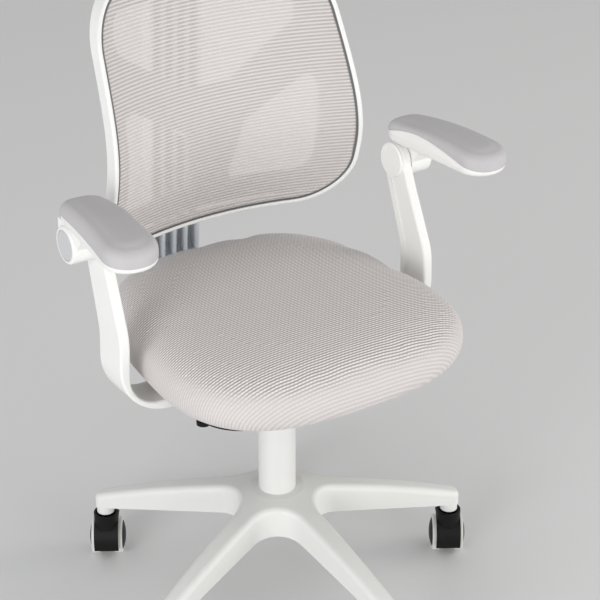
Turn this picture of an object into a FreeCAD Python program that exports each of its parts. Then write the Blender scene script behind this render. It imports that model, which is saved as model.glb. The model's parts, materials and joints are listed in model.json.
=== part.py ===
import FreeCAD, Part
import math
import os
import Sketcher
from FreeCAD import Placement, Rotation, Vector

# A child's desk chair on a five-star base: gas column, padded seat, mesh back on a ribbed spine,
# and two armrests that flip up. Millimetres, +Z up, the seat faces -Y.
# The origin lies on the floor under the column's axis.

os.makedirs("parts", exist_ok=True)
doc = FreeCAD.newDocument("kids_desk_chair")

SIZES = {
    # Fits shared by all pieces
    "running": 0.05,
    "snug": 0.2,
    "soft_gap": 0.3,
    # Casters
    "caster_neck": 23,
    "caster_trail": 12,
    "trail_turn": 57.6,
    "wheel_radius": 26,
    "wheel_width": 15,
    "wheel_spacing": 20,
    "wheel_dome": 3.5,
    "axle_radius": 3,
    "stem_radius": 5.5,
    "stem_reach": 18,
    "hood_width": 34,
    "hood_wall": 3,
    "hood_lift": 4,
    "hood_clear": 5,
    "hood_skirt": 19,
    "hood_web": 18,
    "collar_radius": 17,
    # Five-star base
    "leg_count": 5,
    "caster_circle": 254.5,
    "base_turn": 57.6,
    "boss_radius": 12,
    "tip_rise": 28,
    "tip_depth": 17,
    "tip_half": 12.5,
    "hub_rise": 92,
    "hub_depth": 45,
    "hub_radius": 40,
    "root_half": 17,
    "root_radius": 50,
    "web_round": 40,
    "leg_wall": 4,
    "leg_round": 8,
    "leg_crown": 5,
    # Gas column
    "column_radius": 25,
    "column_wall": 3,
    "column_drop": 14,
    "column_length": 199,
    "hub_taper": 1.5,
    "floor_plate": 7,
    "rod_radius": 4,
    "cylinder_radius": 14,
    "cylinder_wall": 2,
    "cylinder_length": 216,
    "socket_length": 34,
    "socket_taper": 1,
    "sleeve_length": 90,
    # Seat
    "seat_gap": 59,
    "seat_width": 412,
    "seat_depth": 437,
    "seat_rise": 95,
    "seat_setback": -1.5,
    "seat_flare": 0.08,
    "seat_tuck": 18,
    "pan_margin": 40,
    "pan_front": 75,
    "pan_thickness": 10,
    "pan_round": 60,
    # Mechanism under the seat
    "plate_width": 200,
    "plate_depth": 180,
    "plate_thickness": 3,
    "box_half": 50,
    "box_depth": 120,
    "lever_pivot": 38,
    "lever_reach": 160,
    "lever_forward": 70,
    "valve_radius": 3,
    "bolt_radius": 3,
    "bolt_head": 6,
    # Armrests
    "arm_gap": 12,
    "arm_thickness": 14,
    "arm_bulge": 6.5,
    "arm_foot": 108,
    "arm_bend": 70,
    "arm_half": 28,
    "arm_setback": 8,
    "arm_round": 3,
    "pivot_back": 52,
    "pivot_rise": 207,
    "disc_radius": 24,
    "hinge_radius": 4,
    "barrel_length": 33.6,
    "cap_radius": 19.6,
    "pad_length": 192,
    "pad_rear": 20,
    "pad_half_rear": 27.5,
    "pad_half_front": 35,
    "pad_stack": 27,
    "base_rear": 12.5,
    "base_front": 6,
    "barrel_round": 3,
    "pad_toe": 5,
    "pad_tilt": 1.5,
    # Backrest
    "back_rise": 137,
    "back_height": 344,
    "back_half": 185,
    "back_half_low": 187,
    "back_half_top": 168.5,
    "widest_rise": 108,
    "back_round_low": 70,
    "back_round_top": 82,
    "back_wrap": 43.5,
    "lumbar_rise": 136,
    "lumbar_inset": 105,
    "lumbar_length": 65,
    "lumbar_slope": 0.49,
    "frame_depth": 24,
    "frame_width": 6,
    "frame_round": 2.2,
    "support_thickness": 6,
    "support_front": 9,
    "support_setback": 25,
    "screw_clamp": 8,
    # Spine behind the back
    "spine_half": 40,
    "spine_gap": 47,
    "spine_foot": 154,
    "spine_bolt": 114,
    "spine_depth": 24,
    "spine_lean": 33,
    "spine_drop": 14,
    "spine_rib": 3,
    "spine_round": 4,
    "spine_wall": 6,
    "lug_half": 28,
}

size = doc.addObject("Spreadsheet::Sheet", "size")
for row, (alias, number) in enumerate(SIZES.items(), start=1):
    size.set(f"A{row}", str(number))
    size.setAlias(f"A{row}", alias)
level = doc.addObject("App::VarSet", "level")
doc.recompute()
pieces = []


# Heights and places that several pieces share, worked out from the driving sizes
def derive(name, formula):
    level.addProperty("App::PropertyFloat", name, "derived")
    level.setExpression(name, formula)


derive("caster_height", "2 * size.wheel_radius + size.caster_neck")
doc.recompute()
derive("boss_low", "level.caster_height")
derive("hub_top", "level.caster_height + size.hub_rise")
derive("hub_low", "level.caster_height + size.hub_rise - size.hub_depth")
derive("tip_top", "level.caster_height + size.tip_rise")
derive("column_low", "level.caster_height + size.hub_rise - size.hub_depth - size.column_drop")
doc.recompute()
derive("column_top", "level.column_low + size.column_length")
derive("bearing_low", "level.column_low + size.floor_plate")
derive("bore_radius", "size.column_radius - size.column_wall")
doc.recompute()
derive("seat_under", "level.column_top + size.seat_gap")
doc.recompute()
derive("cylinder_top", "level.seat_under - 16")
doc.recompute()
derive("cylinder_low", "level.cylinder_top - size.cylinder_length")
derive("valve_top", "level.cylinder_top + 6")
derive("pivot_height", "level.seat_under + size.pivot_rise")
derive("arm_inner", "size.seat_width / 2 + size.arm_gap")
derive("back_low", "level.seat_under + size.back_rise")
derive("seat_rear", "size.seat_setback + size.seat_depth / 2")
derive("lever_height", "level.seat_under - 13")
doc.recompute()
derive("arm_outer", "level.arm_inner + size.arm_thickness")
derive("back_top", "level.back_low + size.back_height")
derive("lumbar_reach", "level.seat_rear - size.lumbar_inset")
derive("spine_front", "level.seat_rear + size.spine_gap")
derive("back_widest", "level.back_low + size.widest_rise")
derive("lumbar_height", "level.back_low + size.lumbar_rise")
doc.recompute()
derive("barrel_start", "level.arm_outer + 0.4")
derive("spine_top", "level.back_top - size.spine_drop")
doc.recompute()
derive("barrel_end", "level.barrel_start + size.barrel_length")
doc.recompute()


def mm(name):
    if hasattr(level, name):
        return getattr(level, name)
    return float(size.get(name))


# A sketch of straight lines whose corners are bound to formulas
def outline_sketch(body, role, corners):
    sketch = body.newObject("Sketcher::SketchObject", body.Name + "_outline")
    plane = next(f for f in body.Origin.OriginFeatures if f.Role == role)
    sketch.AttachmentSupport = [(plane, "")]
    sketch.MapMode = "FlatFace"
    count = len(corners)
    spread = 50.0
    start = []
    for index in range(count):
        angle = 2 * math.pi * index / count
        start.append(Vector(100 + spread * math.cos(angle), 100 + spread * math.sin(angle), 0))
    for index in range(count):
        sketch.addGeometry(Part.LineSegment(start[index], start[(index + 1) % count]), False)
    for index in range(count):
        sketch.addConstraint(Sketcher.Constraint("Coincident", index, 2, (index + 1) % count, 1))
    for index, (across, up) in enumerate(corners):
        spot = start[index]
        first = sketch.addConstraint(Sketcher.Constraint("DistanceX", -1, 1, index, 1, spot.x))
        second = sketch.addConstraint(Sketcher.Constraint("DistanceY", -1, 1, index, 1, spot.y))
        sketch.setExpression(f"Constraints[{first}]", str(across))
        sketch.setExpression(f"Constraints[{second}]", str(up))
    return sketch


def place(piece, spot, turn=None):
    if turn is not None:
        piece.Placement = Placement(Vector(0, 0, 0), Rotation(Vector(0, 0, 1), 10))
        piece.setExpression("Placement.Rotation.Angle", turn)
    for axis, formula in zip("xyz", spot):
        piece.setExpression(f"Placement.Base.{axis}", str(formula))


# A turned piece. Corners are (radius, height) about z, or (station, radius) about x or y.
def turned(label, axis, corners, spot=(0, 0, 0), turn=None):
    body = doc.addObject("PartDesign::Body", label)
    sketch = outline_sketch(body, "YZ_Plane" if axis == "y" else "XZ_Plane", corners)
    spin = body.newObject("PartDesign::Revolution", label + "_turn")
    spin.Profile = sketch
    spin.ReferenceAxis = (sketch, ["V_Axis" if axis == "z" else "H_Axis"])
    spin.Angle = 360
    place(body, spot, turn)
    pieces.append(body)
    return body


def solid_piece(label, shape, spot=None, turn=None):
    piece = doc.addObject("Part::Feature", label)
    piece.Shape = shape
    if spot is not None:
        place(piece, spot, turn)
    pieces.append(piece)
    return piece


def mirrored_piece(label, source):
    piece = doc.addObject("Part::Mirroring", label)
    piece.Source = source
    piece.Normal = Vector(1, 0, 0)
    pieces.append(piece)
    return piece


def in_plane(plane, u, v, offset):
    if plane == "xy":
        return Vector(u, v, offset)
    if plane == "xz":
        return Vector(u, offset, v)
    return Vector(offset, u, v)


# A closed outline through (u, v, corner radius), with tangent arcs at the corners
def rounded_wire(corners, plane="xy", offset=0.0):
    count = len(corners)
    stops = []
    for index in range(count):
        here = Vector(corners[index][0], corners[index][1], 0)
        radius = corners[index][2]
        back = Vector(corners[index - 1][0], corners[index - 1][1], 0) - here
        ahead = Vector(corners[(index + 1) % count][0], corners[(index + 1) % count][1], 0) - here
        back.normalize()
        ahead.normalize()
        half = back.getAngle(ahead) / 2
        if radius <= 0:
            stops.append((here, None, here))
            continue
        reach = radius / math.tan(half)
        middle = back + ahead
        middle.normalize()
        top = here + middle * (radius / math.sin(half) - radius)
        stops.append((here + back * reach, top, here + ahead * reach))
    edges = []
    for index in range(count):
        enter, top, leave = (p and in_plane(plane, p.x, p.y, offset) for p in stops[index])
        if top:
            edges.append(Part.Arc(enter, top, leave).toShape())
        onward = stops[(index + 1) % count][0]
        onward = in_plane(plane, onward.x, onward.y, offset)
        if leave.distanceToPoint(onward) > 1e-6:
            edges.append(Part.LineSegment(leave, onward).toShape())
    return Part.Wire(Part.__sortEdges__(edges))


def prism(corners, plane, start, end, inset=0.0):
    wire = rounded_wire(corners, plane, start)
    if inset:
        wire = wire.makeOffset2D(-inset)
    direction = in_plane(plane, 0, 0, end - start)
    return Part.Face(wire).extrude(direction)


def block(low, high):
    return Part.makeBox(high[0] - low[0], high[1] - low[1], high[2] - low[2], Vector(*low))


def spun(points, arc_top=None):
    edges = []
    for first, second in zip(points, points[1:] + points[:1]):
        start = Vector(first[0], 0, first[1])
        end = Vector(second[0], 0, second[1])
        if arc_top and first == arc_top[0]:
            edges.append(Part.Arc(start, Vector(arc_top[1][0], 0, arc_top[1][1]), end).toShape())
        else:
            edges.append(Part.LineSegment(start, end).toShape())
    face = Part.Face(Part.Wire(edges))
    return face.revolve(Vector(0, 0, 0), Vector(0, 0, 1), 360)


# Five-star base: a star-shaped shell open underneath, with cross ribs, caster bosses and a hub
def five_star_base():
    reach = mm("caster_circle")
    count = int(mm("leg_count"))
    tip = mm("tip_half")
    step = 2 * math.pi / count
    turn = math.radians(mm("base_turn"))
    taper = (mm("root_half") - tip) / (reach - mm("root_radius"))
    root = mm("root_half") + taper * mm("root_radius")
    crotch = root / (math.sin(step / 2) + taper * math.cos(step / 2))
    corners = []
    for leg in range(count):
        angle = turn + leg * step
        along = Vector(math.cos(angle), math.sin(angle), 0)
        side = Vector(-along.y, along.x, 0)
        valley = angle - step / 2
        corners.append((crotch * math.cos(valley), crotch * math.sin(valley), mm("web_round")))
        for hand in (-1, 1):
            corner = along * (reach + tip) + side * (hand * (tip - taper * tip))
            corners.append((corner.x, corner.y, tip * 0.8))
    end = reach + 2 * tip
    wall = mm("leg_wall")
    crown = mm("leg_crown")

    def arched(low, top_drop, from_radius):
        top_start = (max(from_radius, mm("hub_radius") - wall), mm("hub_top") - top_drop)
        top_end = (end, mm("tip_top") - top_drop - 4)
        middle = ((top_start[0] + end) / 2, (top_start[1] + top_end[1]) / 2 + crown)
        points = [(from_radius, top_start[1]), top_start, top_end]
        if from_radius == top_start[0]:
            points = points[1:]
        points += [(end, low), (from_radius, low)]
        return points, (top_start, middle)

    under = [(0, mm("hub_low")), (mm("root_radius"), mm("hub_low"))]
    under.append((end, mm("tip_top") - mm("tip_depth") - 4))
    below = spun(under + [(end, 0), (0, 0)])
    points, arc = arched(0, 0, 0)
    star = prism(corners, "xy", 0, mm("hub_top") + 20)
    solid = star.common(spun(points, arc)).cut(below)
    top_edges = [e for e in solid.Edges if on_top(e, points, arc)]
    solid = solid.makeFillet(mm("leg_round"), top_edges)
    points, arc = arched(0, wall, mm("hub_radius"))
    hollow = prism(corners, "xy", 0, mm("hub_top"), wall).common(spun(points, arc))
    ribs = []
    for leg in range(count):
        angle = mm("base_turn") + 360 / count * leg
        for share in (0.36, 0.52, 0.68, 0.84):
            rib = block((share * reach - 1.5, -40, 0), (share * reach + 1.5, 40, mm("hub_top")))
            rib.rotate(Vector(0, 0, 0), Vector(0, 0, 1), angle)
            ribs.append(rib)
    hollow = hollow.cut(ribs)
    shell = solid.cut(hollow)
    column = column_taper()
    bosses = []
    bores = []
    for leg in range(count):
        angle = turn + leg * step
        spot = Vector(reach * math.cos(angle), reach * math.sin(angle), mm("boss_low"))
        bosses.append(Part.makeCylinder(mm("boss_radius"), mm("tip_rise") - 8, spot))
        bores.append(Part.makeCylinder(mm("stem_radius") + mm("running"), mm("stem_reach") + 1, spot))
    return shell.fuse(bosses).cut(bores + [column]).removeSplitter()


def on_top(edge, points, arc):
    middle = edge.valueAt((edge.FirstParameter + edge.LastParameter) / 2)
    radius = math.hypot(middle.x, middle.y)
    first, crown = arc
    last = points[points.index(first) + 1]
    stops = [Vector(radius_at, 0, height) for radius_at, height in (first, crown, last)]
    circle = Part.Arc(*stops)
    if radius < first[0]:
        return False
    spot = circle.value(circle.parameter(Vector(radius, 0, middle.z)))
    return spot.distanceToPoint(Vector(radius, 0, middle.z)) < 0.3


def column_taper():
    low = mm("column_radius") - mm("hub_taper")
    return Part.makeCone(low, mm("column_radius"), mm("hub_depth"), Vector(0, 0, mm("hub_low")))


# Foot of the hood's neck, inside the fender
def hood_neck():
    return 2 * mm("wheel_radius") + mm("hood_lift") + mm("hood_clear") + mm("hood_wall") - 14


# Caster hood in its own frame: the wheels trail towards +Y, the axle lies along X
def hood_shape():
    wheel = mm("wheel_radius")
    trail = mm("caster_trail")
    half = mm("hood_width") / 2
    inner = wheel + mm("hood_clear")
    outer = inner + mm("hood_wall")
    middle = wheel + mm("hood_lift")
    skirt = mm("hood_skirt")
    axle = Vector(-half, trail, wheel)
    along = Vector(1, 0, 0)
    shell = Part.makeCylinder(outer, 2 * half, Vector(-half, trail, middle), along)
    shell = shell.cut(Part.makeCylinder(inner, 2 * half, Vector(-half, trail, middle), along))
    keep = rounded_wire([(trail + 18, middle + 60, 0), (-60, middle + 60, 0), (-60, skirt, 0),
                         (trail - 10, skirt, 0), (trail - 6, middle, 0)], "yz", -half)
    sector = Part.Face(keep).extrude(Vector(2 * half, 0, 0))
    web_half = mm("hood_web") / 2
    web = Part.makeCylinder(inner, 2 * web_half, Vector(-web_half, trail, middle), along)
    web = web.common(sector)
    hub = Part.makeCylinder(mm("axle_radius") + 5, 2 * web_half, Vector(-web_half, trail, wheel), along)
    fender = shell.common(sector)
    top = mm("caster_height") - 2
    neck_low = hood_neck()
    neck = Part.makeCylinder(mm("collar_radius"), top - neck_low, Vector(0, 0, neck_low))
    neck = neck.cut(Part.makeCylinder(inner, 100, Vector(-50, trail, middle), along))
    ring = Part.makeCylinder(mm("collar_radius") - 3, 6, Vector(0, 0, top - 6))
    ring = ring.cut(Part.makeCylinder(mm("stem_radius") + 3, 6, Vector(0, 0, top - 6)))
    spokes = []
    for index in range(8):
        spoke = block((0, -0.8, top - 6), (mm("collar_radius"), 0.8, top - 1))
        spoke.rotate(Vector(0, 0, 0), Vector(0, 0, 1), 45 * index + 22.5)
        spokes.append(spoke)
    neck = neck.cut(ring.cut(spokes))
    body = fender.fuse([web, hub, neck])
    pin = Part.makeCylinder(mm("axle_radius"), 2 * half, axle, along)
    stem = Part.makeCylinder(mm("stem_radius"), 40, Vector(0, 0, neck_low + 8))
    return body.cut([pin, stem]).removeSplitter()


def casters():
    hood = hood_shape()
    neck_low = hood_neck()
    for index in range(int(mm("leg_count"))):
        name = f"caster_{index + 1}"
        angle = f"size.base_turn + {index} * 360 / size.leg_count"
        spot = (f"size.caster_circle * cos({angle})", f"size.caster_circle * sin({angle})", 0)
        turn = "size.trail_turn - 90"
        solid_piece(f"{name}_hood", hood.copy(), spot, turn)
        stem_top = "level.caster_height + size.stem_reach"
        turned(f"{name}_stem", "z", [(0, neck_low + 8), ("size.stem_radius", neck_low + 8),
                                     ("size.stem_radius", f"{stem_top} - 1.5"),
                                     ("size.stem_radius - 1.5", stem_top), (0, stem_top)], spot, turn)
        reach = "(size.wheel_spacing / 2 + size.wheel_width - 4 - size.snug)"
        axle_spot = (f"{spot[0]} + size.caster_trail * cos(size.trail_turn)",
                     f"{spot[1]} + size.caster_trail * sin(size.trail_turn)", "size.wheel_radius")
        turned(f"{name}_axle", "x", [(f"-{reach}", 0), (f"-{reach}", "size.axle_radius"),
                                     (reach, "size.axle_radius"), (reach, 0)], axle_spot, turn)
        for side, sign in (("a", "-"), ("b", "")):
            wheel(f"{name}_wheel_{side}", sign, axle_spot, turn)


# A caster wheel: flat tread with eased edges, domed outer disc closed over the axle's end
def wheel(label, sign, spot, turn):
    near = "size.wheel_spacing / 2 + size.snug"
    far = "size.wheel_spacing / 2 + size.wheel_width"
    edge = "size.wheel_spacing / 2 + size.wheel_width - size.wheel_dome"
    bore = "size.axle_radius + size.running"
    radius = "size.wheel_radius"
    stations = [
        (near, bore), (near, f"{radius} - 1.2"), (f"{near} + 1.2", radius), (f"{edge} - 1.2", radius),
        (edge, f"{radius} - 1.2"), (edge, f"{radius} - 5"),
        (f"{far} - size.wheel_dome * 0.4", f"{radius} * 0.68"), (far, f"{radius} * 0.4"), (far, 0),
        (f"{far} - 4", 0), (f"{far} - 4", bore),
    ]
    corners = [(f"{sign}({across})", up) for across, up in stations]
    turned(label, "x", corners, spot, turn)


# Gas column: outer tube in the hub's taper, guide sleeve, rod on its bearing, sliding cylinder
def gas_column():
    tube = "size.column_radius"
    low = "size.column_radius - size.hub_taper"
    hole = "size.rod_radius + size.running"
    turned("column_tube", "z", [
        (hole, "level.column_low"), (f"{low} - 1", "level.column_low"), (low, "level.column_low + 1"),
        (low, "level.hub_low"), (tube, "level.hub_top"), (tube, "level.column_top"),
        ("level.bore_radius", "level.column_top"), ("level.bore_radius", "level.hub_top"),
        (f"{low} - size.column_wall", "level.hub_low"),
        (f"{low} - size.column_wall", "level.bearing_low"), (hole, "level.bearing_low")])
    slide = "size.cylinder_radius + size.running"
    turned("guide_sleeve", "z", [
        (slide, "level.column_top - size.sleeve_length"),
        ("level.bore_radius", "level.column_top - size.sleeve_length"),
        ("level.bore_radius", "level.column_top"),
        (f"{tube} - 1", "level.column_top"), (f"{tube} - 2", "level.column_top + 4"),
        (slide, "level.column_top + 4")])
    turned("thrust_bearing", "z", [
        (hole, "level.bearing_low"), ("size.rod_radius + 8", "level.bearing_low"),
        ("size.rod_radius + 8", "level.bearing_low + 8"), (hole, "level.bearing_low + 8")])
    rod_top = "level.column_top"
    piston = "size.cylinder_radius - size.cylinder_wall - size.running"
    groove = "level.column_low - 4"
    turned("piston_rod", "z", [
        (0, "level.column_low - 7"), ("size.rod_radius", "level.column_low - 7"), ("size.rod_radius", groove),
        ("size.rod_radius - 1", groove), ("size.rod_radius - 1", f"{groove} + 2"),
        ("size.rod_radius", f"{groove} + 2"), ("size.rod_radius", "level.bearing_low + 8"),
        ("size.rod_radius + 5", "level.bearing_low + 8"), ("size.rod_radius + 5", "level.bearing_low + 11"),
        ("size.rod_radius", "level.bearing_low + 11"), ("size.rod_radius", f"{rod_top} - 12"),
        (piston, f"{rod_top} - 12"), (piston, rod_top), (0, rod_top)])
    turned("rod_clip", "z", [
        ("size.rod_radius - 1", groove), ("size.rod_radius + 4", groove),
        ("size.rod_radius + 4", f"{groove} + 2"),
        ("size.rod_radius - 1", f"{groove} + 2")])
    bore = "size.cylinder_radius - size.cylinder_wall"
    top = "level.cylinder_top"
    valve = "size.valve_radius + size.running"
    turned("gas_cylinder", "z", [
        (hole, "level.cylinder_low"), ("size.cylinder_radius", "level.cylinder_low"),
        ("size.cylinder_radius", f"{top} - size.socket_length"),
        ("size.cylinder_radius - size.socket_taper", top),
        (valve, top), (valve, f"{top} - 14"), (bore, f"{top} - 14"),
        (bore, "level.cylinder_low + 10"), (hole, "level.cylinder_low + 10")])
    turned("valve_button", "z", [
        (0, f"{top} - 9"), ("size.valve_radius", f"{top} - 9"), ("size.valve_radius", "level.valve_top - 1"),
        ("size.valve_radius - 1", "level.valve_top"), (0, "level.valve_top")])


# Steel mechanism plate: flat flange, box below it, taper socket for the cylinder, ears for the lever
def seat_plate():
    top = mm("seat_under")
    wide = mm("plate_width") / 2
    deep = mm("plate_depth") / 2
    skin = mm("plate_thickness")
    half = mm("box_half")
    box_deep = mm("box_depth") / 2
    floor = mm("cylinder_top") - mm("socket_length")
    flange = prism([(-wide, -deep, 14), (wide, -deep, 14), (wide, deep, 14), (-wide, deep, 14)],
                   "xy", top - skin, top)
    walls = [(-half, -box_deep, 10), (half, -box_deep, 10), (half, box_deep, 10), (-half, box_deep, 10)]
    tub = prism(walls, "xy", floor, top - skin)
    inside = prism(walls, "xy", floor + skin, top - skin, skin)
    socket = Part.makeCylinder(mm("cylinder_radius") + 5, mm("socket_length"), Vector(0, 0, floor))
    taper = Part.makeCone(mm("cylinder_radius"), mm("cylinder_radius") - mm("socket_taper"),
                          mm("socket_length"), Vector(0, 0, floor))
    ears = []
    for side in (-1, 1):
        near, far = sorted((side * 10.5, side * 14))
        ears.append(block((-mm("lever_pivot") - 7, near, mm("lever_height") - 7),
                          (-mm("lever_pivot") + 7, far, top - skin)))
    slot = block((-half - 5, -10, mm("lever_height") - 12), (-half + 5, 10, top - skin - 0.5))
    pin = Part.makeCylinder(2.5, 60, Vector(-mm("lever_pivot"), -30, mm("lever_height")), Vector(0, 1, 0))
    plate = flange.fuse([tub.cut(inside), socket] + ears).cut([taper, slot, pin])
    return plate.cut(bolt_holes("plate")).removeSplitter()


# Lever: tongue over the valve, hub on its pin, bent rod out to a flat paddle
def height_lever():
    pivot = Vector(-mm("lever_pivot"), 0, mm("lever_height"))
    hub = Part.makeCylinder(6, 20, pivot + Vector(0, -10, 0), Vector(0, 1, 0))
    tongue = block((-mm("lever_pivot"), -7, mm("valve_top") + 0.6), (4, 7, mm("valve_top") + 4))
    end = Vector(-mm("lever_reach") + 20, -mm("lever_forward") + 12, mm("lever_height") - 5)
    knee = Vector(-mm("box_half") - 18, 0, mm("lever_height") - 2)
    inner = Part.makeCylinder(4, (knee - pivot).Length, pivot, knee - pivot)
    outer = Part.makeCylinder(4, (end - knee).Length, knee, end - knee)
    joint = Part.makeSphere(4, knee)
    paddle = prism([(-30, -6, 4), (20, -9, 8), (20, 9, 8), (-30, 6, 4)], "xy", -3, 3)
    angle = math.degrees(math.atan2(end.y - knee.y, end.x - knee.x))
    paddle.Placement = Placement(end, Rotation(Vector(0, 0, 1), angle))
    lever = hub.fuse([tongue, inner, outer, joint, paddle])
    bore = Part.makeCylinder(2.5 + mm("running"), 40, pivot + Vector(0, -20, 0), Vector(0, 1, 0))
    return lever.cut(bore).removeSplitter()


# Bolts under the seat: (x, y, underside of the clamped flange) for plate, arms and spine
def bolt_spots(group):
    top = mm("seat_under")
    if group == "plate":
        wide = mm("plate_width") / 2 - 16
        deep = mm("plate_depth") / 2 - 16
        return [(x, y, top - mm("plate_thickness")) for x in (-wide, wide) for y in (-deep, deep)]
    if group == "arm":
        across = mm("arm_foot") + 22
        near, far = mm("arm_setback") - 14, mm("arm_setback") + 14
        return [(x, y, top - mm("arm_thickness")) for x in (-across, across) for y in (near, far)]
    return [(x, mm("spine_front") - mm("spine_bolt"), top - mm("arm_thickness")) for x in (-22, 22)]


def bolt_holes(group):
    bore = mm("bolt_radius") + 0.1
    return [Part.makeCylinder(bore, 60, Vector(x, y, z - 20)) for x, y, z in bolt_spots(group)]


def seat_bolts():
    bolts = []
    for group in ("plate", "arm", "spine"):
        for x, y, z in bolt_spots(group):
            reach = mm("seat_under") + mm("pan_thickness") - 2 - z
            shank = Part.makeCylinder(mm("bolt_radius"), reach, Vector(x, y, z))
            head = Part.makeCylinder(mm("bolt_head"), 4, Vector(x, y, z - 4))
            bolts.append(shank.fuse(head).removeSplitter())
    return Part.makeCompound(bolts)


def pan_corners():
    wide = mm("seat_width") / 2 - mm("pan_margin")
    deep = mm("seat_depth") / 2 - mm("pan_margin")
    front = mm("pan_front") - mm("seat_depth") / 2
    turn = mm("pan_round")
    return [(-wide, front, turn), (wide, front, turn), (wide, deep, turn), (-wide, deep, turn)]


def seat_pan():
    low = mm("seat_under")
    pan = prism(pan_corners(), "xy", low, low + mm("pan_thickness"))
    bore = mm("bolt_radius") + 0.1
    holes = []
    for group in ("plate", "arm", "spine"):
        for x, y, z in bolt_spots(group):
            holes.append(Part.makeCylinder(bore, mm("pan_thickness") - 1, Vector(x, y, low - 1)))
    return pan.cut(holes)


# Seat cushion: crowned cross-sections, sides drawn in towards the underside, front edge tucked up
def seat_cushion():
    low = mm("seat_under") + mm("soft_gap")
    sections = []
    for share in (-0.985, -0.94, -0.82, -0.6, -0.3, 0.0, 0.3, 0.6, 0.82, 0.94, 0.985):
        y = mm("seat_setback") + share * mm("seat_depth") / 2
        plan = (1 - abs(share) ** 2.9) ** (1 / 2.9)
        rise = mm("seat_rise") * (0.42 + 0.58 * (1 - abs(share) ** 3.2) ** (1 / 2.2))
        wide = mm("seat_width") / 2 * plan * (1 - mm("seat_flare") * share)
        foot = wide - min(26, wide * 0.25)
        brow = wide - min(34, wide * 0.35)
        brow_up = low + 0.86 * rise
        side_up = low + 0.5 * rise
        under = low + mm("seat_tuck") * max(0.0, (-share - 0.66) / 0.325) ** 2
        points = [Vector(-foot, y, under), Vector(foot, y, under),
                  Vector(brow, y, brow_up), Vector(-brow, y, brow_up)]
        edges = [
            Part.LineSegment(points[0], points[1]).toShape(),
            Part.Arc(points[1], Vector(wide, y, side_up), points[2]).toShape(),
            Part.Arc(points[2], Vector(0, y, low + rise), points[3]).toShape(),
            Part.Arc(points[3], Vector(-wide, y, side_up), points[0]).toShape(),
        ]
        sections.append(Part.Wire(edges))
    cushion = Part.makeLoft(sections, True, False)
    nest = mm("pan_thickness") + mm("soft_gap")
    pocket = prism(pan_corners(), "xy", low - 1, mm("seat_under") + nest, -mm("soft_gap"))
    return cushion.cut(pocket)


# Arm upright: a J seen from the front, crossed with a leaning S seen from the side
def arm_front():
    inner = mm("arm_inner")
    outer = mm("arm_outer")
    bulge = mm("arm_bulge")
    top = mm("seat_under")
    low = top - mm("arm_thickness")
    straight = mm("pivot_height") - mm("disc_radius") - 4
    roof = mm("pivot_height") + mm("disc_radius") + 10
    bend = mm("arm_bend")
    return [(mm("arm_foot"), low, 0), (outer + bulge, low, bend), (outer, straight, 40), (outer, roof, 0),
            (inner, roof, 0), (inner, straight, 40), (inner + bulge, top, bend - 2 * mm("arm_thickness")),
            (mm("arm_foot"), top, 0)]


def arm_side():
    front = mm("arm_setback") - mm("arm_half")
    rear = mm("arm_setback") + mm("arm_half")
    back = mm("pivot_back")
    pivot = mm("pivot_height")
    disc = mm("disc_radius")
    knee = mm("seat_under") + 92
    low = mm("seat_under") - 40
    return [(front, low, 0), (rear, low, 0), (rear, knee, 70), (back + disc - 0.8, pivot, 0),
            (back - disc + 0.8, pivot, 0), (front, knee + 5, 70)]


def arm_upright():
    side = prism(arm_side(), "yz", mm("arm_foot") - 5, mm("arm_outer") + 30)
    pivot = Vector(mm("arm_foot") - 5, mm("pivot_back"), mm("pivot_height"))
    along = Vector(1, 0, 0)
    reach = mm("arm_outer") + 35 - mm("arm_foot")
    side = side.fuse(Part.makeCylinder(mm("disc_radius"), reach, pivot, along)).removeSplitter()
    front = prism(arm_front(), "xz", -mm("arm_half") - 5, mm("pivot_back") + mm("disc_radius") + 5)
    arm = front.common(side).removeSplitter()
    arm = arm.makeFillet(mm("arm_round"), [e for e in arm.Edges if e.BoundBox.XMax > mm("arm_foot") + 1])
    rim = 7
    channel = prism(arm_side(), "yz", mm("arm_inner") - 20, mm("arm_inner") + mm("arm_bulge") + 4, rim)
    channel_top = mm("pivot_height") - mm("disc_radius") - 4
    channel_low = block((0, -200, mm("seat_under") + 45), (400, 200, channel_top))
    inner_skin = prism(arm_front(), "xz", -100, 200)
    inner_skin.translate(Vector(-mm("arm_thickness") + 4, 0, 0))
    arm = arm.cut(channel.common(channel_low).common(inner_skin))
    arm = arm.cut([Part.makeCylinder(mm("hinge_radius"), 500, Vector(0, pivot.y, pivot.z), along)])
    return arm.cut(bolt_holes("arm")).removeSplitter()


def pad_corners(inset):
    rear = mm("pad_half_rear") - inset
    front = mm("pad_half_front") - inset
    back = mm("pad_rear") - inset
    tip = mm("pad_rear") - mm("pad_length") + inset
    return [(-rear, back, rear * 0.85), (-front, tip, front * 0.92),
            (front, tip, front * 0.92), (rear, back, rear * 0.85)]


# Pads sit above the hinge, toed out and tilted up a little towards the front
def pad_frame(shape):
    middle = (mm("arm_inner") + mm("barrel_end")) / 2 - 2
    turn = Rotation(Vector(0, 0, 1), mm("pad_toe")).multiply(Rotation(Vector(1, 0, 0), -mm("pad_tilt")))
    seat = mm("pivot_height") + mm("disc_radius") + 0.5
    shape.Placement = Placement(Vector(middle, mm("pivot_back"), seat), turn)
    return shape


# The pad's outline at a height that differs between its rear and its tip
def pad_ring(inset, rear, tip):
    ring = rounded_wire(pad_corners(inset), "xy", 0)
    slope = math.degrees(math.atan2(rear - tip, mm("pad_length")))
    ring.rotate(Vector(0, mm("pad_rear"), 0), Vector(1, 0, 0), slope)
    ring.translate(Vector(0, 0, rear))
    return ring


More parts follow.
